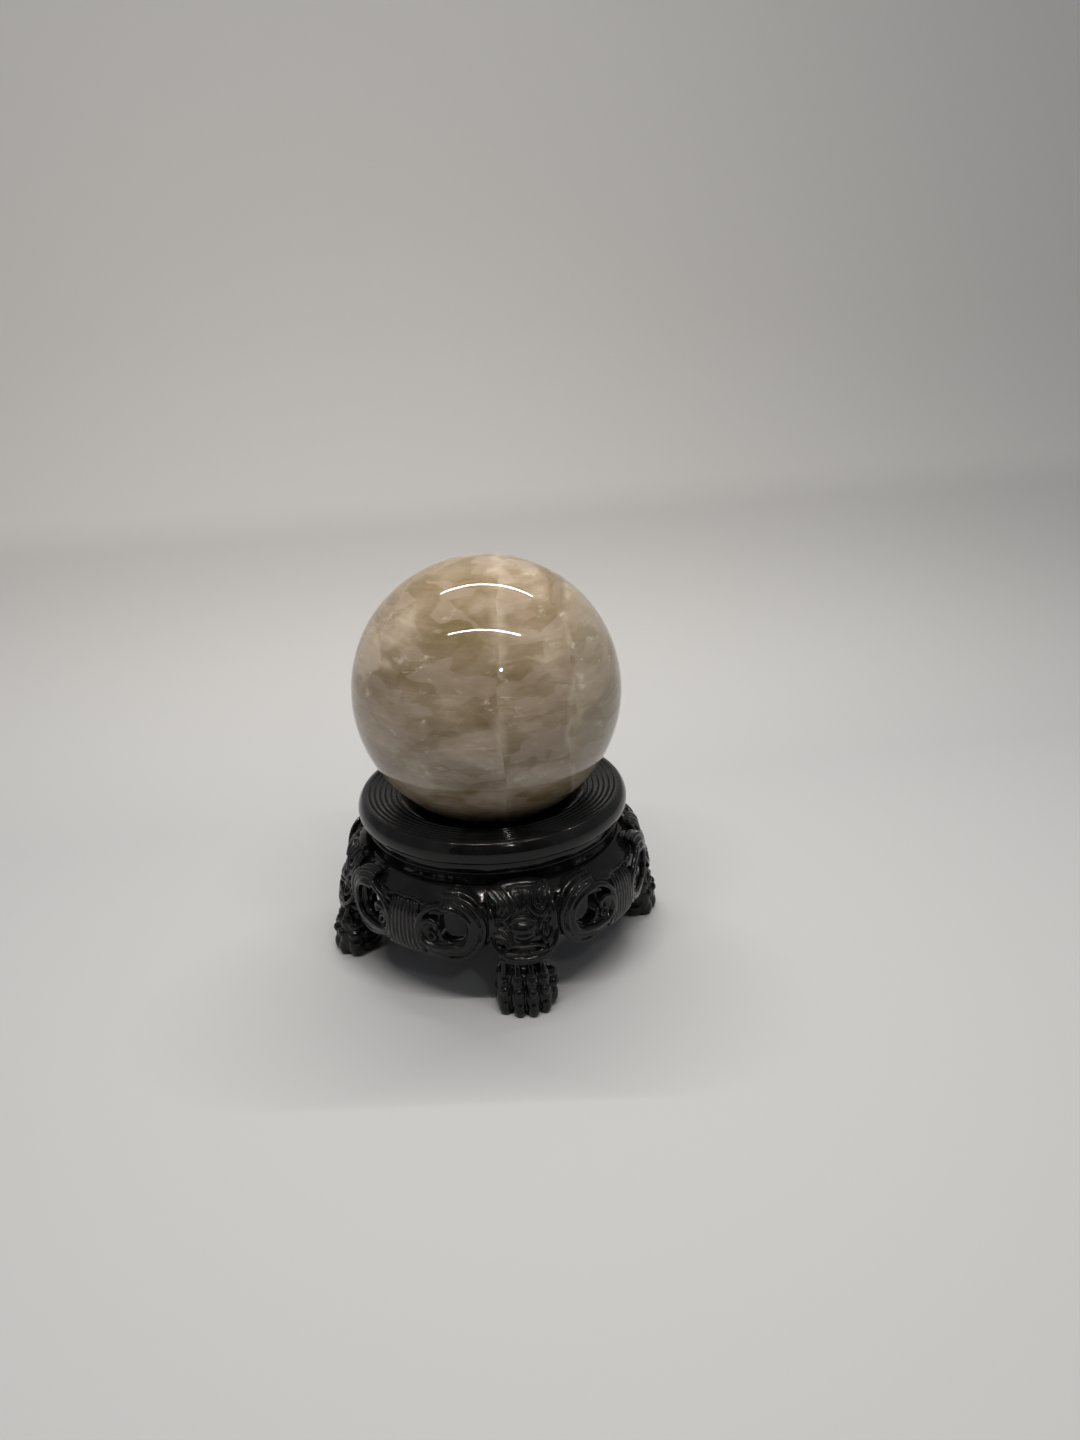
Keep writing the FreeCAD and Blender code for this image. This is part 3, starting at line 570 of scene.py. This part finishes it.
opening = [(-3.4, 2.2), (-1.2, 3.0), (1.8, 3.3), (3.7, 2.5), (4.7, 0.6), (4.8, -1.4), (4.3, -3.5),
           (2.8, -4.9), (0.8, -5.5), (-1.2, -5.4), (-2.6, -4.6), (-3.4, -3.0), (-3.6, -0.6)]
below_scroll = [(-9.0, -9.4), (-6.0, -8.3), (-2.8, -9.0), (0.8, -9.7), (3.2, -9.2), (5.1, -8.0),
                (7.4, -5.8), (8.9, -3.2), (9.3, -0.2), (8.9, 2.4), (14.0, 2.4), (14.0, -14.0),
                (-9.0, -14.0)]
scroll_ribs = {
    "ledge": ([(-1.0, 6.9, 38.6), (2.4, 6.8, 38.8), (5.6, 6.0, 39.4), (7.8, 4.0, 40.0)], 1.9, 1.7),
    "ledge_front": ([(-1.0, 6.2, 40.6), (2.0, 6.2, 40.8), (5.0, 5.0, 41.4), (7.2, 2.4, 41.8)],
                    1.7, 1.5),
    "rib_by_collar": ([(-2.2, 8.3, 37.5), (0.6, 8.4, 37.5), (3.6, 8.0, 37.8), (6.6, 6.8, 38.4),
                       (9.0, 4.6, 39.2)], 0.75, 0.7),
    "rib_upper": ([(-2.2, 8.3, 39.2), (1.0, 8.4, 39.3), (4.4, 7.9, 39.8), (7.2, 6.4, 40.8),
                   (9.0, 3.8, 41.6), (9.9, 1.2, 41.9)], 0.8, 0.7),
    "rib_outer": ([(-2.2, 7.9, 40.9), (0.8, 8.2, 41.1), (3.6, 7.7, 41.8), (6.0, 6.6, 42.6),
                   (8.0, 4.4, 43.1), (9.1, 2.0, 43.3), (9.5, -0.6, 43.3), (9.1, -3.3, 43.2),
                   (7.5, -6.1, 43.0), (5.1, -8.2, 42.8), (2.8, -9.4, 42.6), (0.4, -9.8, 42.5),
                   (-2.8, -9.1, 42.6), (-5.2, -8.3, 42.7), (-7.4, -7.4, 42.8)], 0.8, 0.6),
    "rib_second": ([(-2.2, 6.7, 42.0), (0.6, 6.9, 42.3), (3.0, 6.4, 42.9), (5.2, 5.1, 43.3),
                    (6.8, 3.0, 43.4), (7.6, 0.6, 43.4), (7.6, -2.0, 43.4), (6.6, -4.6, 43.3),
                    (4.7, -6.7, 43.1), (2.4, -7.9, 43.0), (-0.2, -8.3, 43.0), (-2.8, -7.7, 43.0),
                    (-5.6, -7.1, 43.0)], 0.75, 0.5),
    "rim": ([(-2.4, 5.2, 42.7), (-0.2, 5.4, 43.0), (2.2, 4.9, 43.2), (4.2, 3.7, 43.3),
             (5.6, 1.8, 43.4), (6.0, -0.6, 43.4), (5.7, -3.0, 43.4), (4.4, -5.2, 43.3),
             (2.2, -6.4, 43.1), (-0.4, -6.9, 43.0), (-3.2, -6.9, 43.0)], 1.0, 0.75),
    "rim_inside": ([(-1.6, 4.6, 40.8), (1.6, 4.4, 41.0), (4.0, 3.2, 41.2), (5.3, 1.0, 41.2),
                    (5.6, -1.4, 41.2), (5.0, -3.8, 41.2), (3.2, -5.7, 41.2), (0.6, -6.5, 41.0),
                    (-3.0, -6.7, 41.0)], 1.2, 1.2),
    "band_strand": ([(-1.6, 5.9, 42.5), (-3.8, 5.7, 42.8), (-6.0, 4.7, 43.0), (-8.0, 2.9, 43.1),
                     (-9.4, 0.4, 43.1), (-10.2, -2.4, 43.0), (-10.1, -5.0, 42.9),
                     (-9.3, -7.0, 42.8), (-7.8, -8.0, 42.7)], 0.9, 0.7),
    "curl": ([(-4.4, -1.6, 42.6), (-3.9, 0.0, 42.8), (-4.9, 1.2, 43.0), (-6.6, 1.1, 43.0),
              (-8.2, 0.0, 43.0), (-9.2, -2.0, 43.0), (-9.2, -4.2, 42.9), (-8.0, -6.0, 42.9),
              (-6.0, -6.6, 42.9), (-3.6, -6.7, 42.9), (-1.0, -6.7, 42.9), (1.6, -6.2, 42.9)],
             0.8, 0.9),
    "curl_body": ([(-4.9, -0.8, 41.0), (-6.2, 0.2, 41.2), (-7.9, -0.8, 41.2), (-8.6, -3.0, 41.2),
                   (-7.6, -5.2, 41.2), (-5.6, -6.0, 41.2), (-3.0, -6.4, 41.0)], 1.3, 1.4),
    "inner_curl": ([(-5.4, 0.2, 42.2), (-6.7, -0.3, 42.5), (-7.5, -1.8, 42.6), (-7.3, -3.5, 42.6),
                    (-6.3, -4.8, 42.5), (-4.9, -4.8, 42.4), (-4.4, -3.6, 42.3),
                    (-5.3, -2.8, 42.2)], 0.65, 0.55),
    "eye_knob": ([(-6.3, -2.2, 41.8), (-6.1, -2.6, 42.3), (-6.0, -2.9, 42.7)], 1.2, 0.7),
    "leaf": ([(-15.2, 5.6, 41.3), (-12.4, 5.9, 41.2), (-10.2, 5.6, 41.4), (-8.6, 5.0, 41.9),
              (-7.0, 5.4, 41.7), (-5.2, 5.8, 41.3), (-3.4, 6.1, 41.0)], 0.45, 0.35),
    "web": ([(7.8, 5.2, 40.6), (9.8, 2.6, 41.0), (10.7, 0.0, 41.5), (10.4, -2.6, 41.5),
             (8.6, -5.0, 41.2)], 1.9, 1.6),
    "web_top": ([(5.0, 6.4, 38.4), (8.4, 5.0, 39.2), (10.6, 2.6, 40.0)], 1.6, 1.6),
}
ribs = []
for hand in (-1, 1):
    for path, first, last in scroll_ribs.values():
        rib = []
        for number, (across, above, reach) in enumerate(path):
            share = number / (len(path) - 1)
            radius = first + (last - first) * share
            rib.append((apron_point(hand * (scroll_along + across), scroll_height + above, reach),
                        radius))
        ribs.append(rib)
flutes, flute_gap = 8, 1.38
for number in range(flutes):
    from_middle = number - (flutes - 1) / 2
    along = from_middle * flute_gap
    fall = 0.12 * abs(from_middle)
    ribs.append([(apron_point(along * 0.86, 29.6 - fall, 40.9), 0.32),
                 (apron_point(along * 0.90, 28.2, 42.2), 0.52),
                 (apron_point(along * 0.95, 25.0, 43.05), 0.56),
                 (apron_point(along, 21.0, 43.3), 0.58),
                 (apron_point(along * 1.04, 17.6, 43.0), 0.6),
                 (apron_point(along * 1.06, 15.9 + fall * 0.5, 42.3), 0.52)])
ribs.append([(apron_point(along, 15.6, 41.9), 0.75) for along in (-6.4, -3.2, 0, 3.2, 6.4)])
tools = []
for hand in (-1, 1):
    for label, ring in (("opening", opening), ("below", below_scroll)):
        corners = [(hand * (scroll_along + across), scroll_height + above)
                   for across, above in ring]
        tools.append(prism(f"{label}_{hand}", corners))
for tool in tools:
    cutter = wall.modifiers.new("cutter", "BOOLEAN")
    cutter.operation = "DIFFERENCE"
    cutter.solver = "EXACT"
    cutter.object = tool
    bpy.ops.object.select_all(action="DESELECT")
    bpy.context.view_layer.objects.active = wall
    wall.select_set(True)
    bpy.ops.object.modifier_apply(modifier="cutter")
for tool in tools:
    bpy.data.objects.remove(tool)
apron_cell = 0.26
apron = carve_together([wall, strand_bundle("apron_ribs", ribs)], "carved_apron_front_right",
                       apron_cell, rounding=2)
apron.data.materials.clear()
apron.data.materials.append(lacquer)
aprons = {"apron_front_right": apron}
for degrees, node in ((90, "apron_back_right"), (180, "apron_back_left"),
                      (270, "apron_front_left")):
    aprons[node] = turned_copy(apron, f"carved_{node}", degrees)
for node, piece in aprons.items():
    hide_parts(node)
    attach(piece, "stand")

# ---------------------------------------------------------------- legs
# Each leg is a beast's mask with curled mane locks, a broad smooth nose and a lip that rolls
# round the jaw, over a paw of four knuckled toes with a dewclaw on one side.


def leg_point(across, height, reach):
    """A place on the front leg: mm across to its right, above the floor, from the axis."""
    return (across * MM, -reach * MM, height * MM)


def between(value, marks, levels):
    """The level at a value, straight between marks."""
    for number in range(1, len(marks)):
        if value <= marks[number] or number == len(marks) - 1:
            share = (value - marks[number - 1]) / (marks[number] - marks[number - 1])
            share = min(max(share, 0), 1)
            return levels[number - 1] + share * (levels[number] - levels[number - 1])


def face_reach(height):
    """How far the leg's middle line stands out from the axis at a height."""
    return between(height, (0, 3.9, 8.7, 11, 12.3, 13.9, 15.6, 20, 23, 26.8, 31.4, 34, 36.5),
                   (49.3, 49.9, 49.4, 48.4, 46.4, 46.2, 46.7, 46.1, 44.6, 43.6, 42.6, 40.3, 38.0))


lumps = [
    # (across, height, reach), (half width, half height, half depth), the same for every leg
    ((0, 30.7, 34.4), (8.6, 1.6, 4.4)),
    ((0, 32.6, 37.2), (8.6, 3.1, 2.6)),
    ((-7.0, 24.8, 41.1), (1.7, 1.5, 1.6)),
    ((7.0, 24.8, 41.1), (1.7, 1.5, 1.6)),
    ((0, 30.0, 38.4), (8.9, 4.6, 3.6)),
    ((0, 26.0, 38.9), (9.1, 6.4, 4.0)),
    ((0, 21.0, 39.8), (8.9, 5.0, 5.2)),
    ((-5.4, 21.0, 41.0), (3.3, 3.4, 2.7)),
    ((5.6, 21.0, 41.0), (3.3, 3.4, 2.7)),
    ((-8.3, 24.6, 40.6), (1.5, 5.5, 2.3)),
    ((8.3, 24.6, 40.6), (1.5, 5.5, 2.3)),
    ((0, 18.0, 42.2), (7.0, 1.7, 3.7)),
    ((-1.7, 24.2, 41.8), (2.7, 2.7, 3.1)),
    ((1.3, 24.2, 41.8), (2.7, 2.7, 3.1)),
    ((-0.2, 24.0, 42.2), (3.3, 2.6, 3.1)),
    ((-0.2, 22.6, 42.6), (3.4, 1.9, 3.1)),
    ((-0.1, 29.0, 40.6), (2.1, 2.6, 1.9)),
    ((-5.3, 25.0, 41.3), (1.5, 1.0, 1.5)),
    ((5.9, 25.2, 41.3), (1.5, 1.1, 1.5)),
    ((-0.3, 18.9, 44.4), (3.2, 0.9, 1.8)),
    ((-0.3, 14.8, 41.0), (6.2, 3.4, 4.0)),
    ((-0.8, 10.6, 41.0), (6.9, 4.0, 4.6)),
    ((-0.9, 6.4, 41.0), (7.3, 5.0, 5.3)),
    ((-0.9, 2.6, 40.8), (7.4, 4.0, 5.8)),
    ((6.4, 9.9, 43.0), (1.9, 1.5, 2.0)),
    ((6.9, 7.2, 43.2), (1.9, 1.7, 2.2)),
    ((6.6, 3.4, 43.2), (1.9, 3.2, 2.3)),
]
toe_spots = ((-6.1, 46.4), (-2.7, 48.7), (0.8, 49.4), (4.2, 48.3))
for across, tip in toe_spots:
    lumps += [((across, 7.0, tip - 1.5), (1.4, 1.5, 1.35)),
              ((across, 10.1, tip - 2.6), (1.3, 1.2, 1.3)),
              ((across, 2.3, tip - 2.2), (1.75, 3.1, 2.1)),
              ((across * 0.97, 4.4, tip - 3.3), (2.3, 5.4, 2.6)),
              ((across * 0.95, 9.2, tip - 4.1), (2.2, 3.6, 2.6))]
beads = ((-2.7, 34.4, 0.6), (-0.1, 33.7, 0.65), (2.9, 33.7, 0.65), (6.6, 34.6, 0.7),
         (-5.6, 34.6, 0.55), (5.0, 34.6, 0.6))
for across, height, radius in beads:
    lumps.append(((across, height, face_reach(height) - 0.03 * across ** 2 - 0.2),
                  (radius, radius, radius)))

locks = {
    "left_outer": ([(-9.2, 33.0), (-8.9, 31.4), (-8.5, 29.0), (-8.5, 26.0), (-8.7, 23.0)], 0.55, 0.6),
    "left_one": ([(-8.4, 33.6), (-7.6, 32.5), (-6.6, 31.4), (-6.1, 30.0), (-6.6, 28.6)], 0.45, 0.75),
    "left_between": ([(-7.4, 34.0), (-6.2, 32.9), (-5.2, 31.4), (-4.7, 29.6), (-5.4, 28.2)],
                     0.45, 0.7),
    "left_two": ([(-6.2, 34.2), (-4.9, 32.7), (-3.9, 31.0), (-3.4, 29.2), (-3.9, 27.8),
                  (-5.2, 27.3)], 0.45, 0.85),
    "left_three": ([(-4.6, 34.4), (-3.2, 32.9), (-2.3, 31.2), (-1.9, 29.6), (-2.6, 28.3)],
                   0.45, 0.7),
    "left_four": ([(-3.0, 33.9), (-1.9, 32.3), (-0.9, 30.6), (-0.9, 29.2)], 0.4, 0.6),
    "right_hook": ([(2.1, 33.4), (1.2, 32.2), (1.4, 30.3), (2.4, 28.4), (4.0, 27.0), (5.8, 26.9),
                    (7.1, 28.4), (7.6, 30.8), (8.0, 33.0)], 0.55, 0.6),
    "right_middle": ([(3.6, 33.6), (2.9, 32.0), (3.0, 30.2), (4.0, 28.8), (5.4, 28.6), (6.2, 30.0),
                      (6.6, 32.0), (7.4, 33.6)], 0.5, 0.5),
    "right_inner": ([(5.4, 33.6), (4.7, 32.0), (4.6, 30.5)], 0.45, 0.6),
    "right_outer": ([(8.7, 33.0), (8.3, 30.6), (8.3, 28.0), (8.9, 25.4), (9.2, 22.8)], 0.55, 0.65),
    "jaw": ([(8.9, 24.4), (9.2, 22.0), (8.6, 19.6), (7.0, 17.7), (4.8, 16.9), (2.2, 16.6),
             (-1.1, 16.6), (-4.2, 16.9), (-6.6, 17.9), (-8.1, 19.9), (-8.8, 22.4), (-8.7, 25.0)],
            0.65, 0.65),
    "nose_crown": ([(-3.9, 26.0), (-2.4, 26.9), (-0.2, 27.2), (2.0, 26.8), (3.6, 25.9)], 0.55, 0.55),
    "left_brow": ([(-7.9, 26.2), (-6.8, 26.9), (-5.2, 26.7), (-4.0, 25.6), (-3.6, 24.2)], 0.5, 0.6),
    "right_brow": ([(7.9, 26.0), (6.9, 26.6), (5.4, 26.4), (4.2, 25.2), (3.7, 23.8)], 0.5, 0.6),
    "left_fold": ([(-7.6, 24.0), (-6.4, 24.2), (-5.0, 23.6), (-4.0, 22.0), (-3.4, 20.4)], 0.5, 0.6),
    "left_fold_low": ([(-7.8, 22.4), (-6.4, 22.4), (-5.2, 21.4), (-4.4, 19.8)], 0.5, 0.55),
    "right_fold": ([(5.0, 24.6), (4.5, 23.0), (4.7, 21.0), (5.6, 19.8), (7.0, 20.8), (7.7, 22.8),
                    (6.9, 24.8), (5.8, 24.0), (5.9, 22.4)], 0.5, 0.45),
    "upper_lip": ([(-5.0, 20.2), (-3.0, 20.5), (-1.0, 20.0), (1.0, 20.0), (3.0, 20.2),
                   (5.0, 19.2)], 0.5, 0.5),
    "lower_lip": ([(-5.4, 18.3), (-2.6, 18.2), (0, 18.1), (2.8, 18.0), (5.6, 18.3)], 0.55, 0.55),
    "chin_fold": ([(-7.0, 16.8), (-4.2, 15.9), (0, 15.5), (3.9, 15.7), (6.6, 16.6)], 0.6, 0.6),
}
brow_round, lock_sink = 0.034, 0.25
strands = []
for path, first, last in locks.values():
    strand = []
    for number, (across, height) in enumerate(path):
        share = number / (len(path) - 1)
        reach = face_reach(height) - brow_round * across ** 2 - lock_sink
        strand.append((leg_point(across, height, reach), first + (last - first) * share))
    strands.append(strand)
for across, tip in toe_spots:
    strands.append([(leg_point(across * 0.95, 16.4, 44.6 - 0.02 * across ** 2), 0.8),
                    (leg_point(across * 0.97, 13.6, 44.9 - 0.03 * across ** 2), 0.8),
                    (leg_point(across, 11.2, tip - 2.7), 0.95)])
bpy.ops.object.select_all(action="DESELECT")
bpy.ops.mesh.primitive_uv_sphere_add(segments=32, ring_count=16, radius=MM)
leg_core = bpy.context.active_object
leg_core.name = "leg_core"
bpy.ops.object.mode_set(mode="EDIT")
bpy.ops.mesh.delete(type="VERT")
for (across, height, reach), (wide, tall, deep) in lumps:
    bpy.ops.mesh.primitive_uv_sphere_add(segments=32, ring_count=16, radius=MM,
                                         location=leg_point(across, height, reach),
                                         scale=(wide, deep, tall))
bpy.ops.object.mode_set(mode="OBJECT")
leg_cell = 0.2
leg = carve_together([leg_core, strand_bundle("leg_strands", strands)], "carved_leg_front",
                     leg_cell, rounding=1)
# the sole is flat on the floor
for corner in leg.data.vertices:
    corner.co.z = max(corner.co.z, 0)
leg.data.materials.clear()
leg.data.materials.append(lacquer)
legs = {"leg_front": leg}
for degrees, node in ((90, "leg_right"), (180, "leg_back"), (270, "leg_left")):
    legs[node] = turned_copy(leg, f"carved_{node}", degrees)
for node, piece in legs.items():
    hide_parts(node)
    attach(piece, "stand")

# ---------------------------------------------------------------- dowels
# Short raw hardwood dowels that join the legs to the collar and the aprons to the legs. They
# sit inside their sockets and show nothing from outside.
dowel_wood = bpy.data.materials.new("raw_hardwood")
dowel_wood.use_nodes = True
nodes, links = dowel_wood.node_tree.nodes, dowel_wood.node_tree.links
raw = nodes["Principled BSDF"]
wood_place = nodes.new("ShaderNodeTexCoord").outputs["Object"]
fibre = noise_node(stretched(wood_place, (900, 900, 120)), 1.0, 4)
links.new(blend_node(fade_node(fibre, 0.35, 0.65), (0.30, 0.18, 0.09, 1), (0.52, 0.36, 0.21, 1)),
          raw.inputs["Base Color"])
links.new(fade_node(fibre, 0.3, 0.7, 0.75, 0.55), raw.inputs["Roughness"])
for node in ("leg_pegs", "apron_pegs"):
    dowels = frame["nodes"][node]
    dowels.data.materials.clear()
    dowels.data.materials.append(dowel_wood)
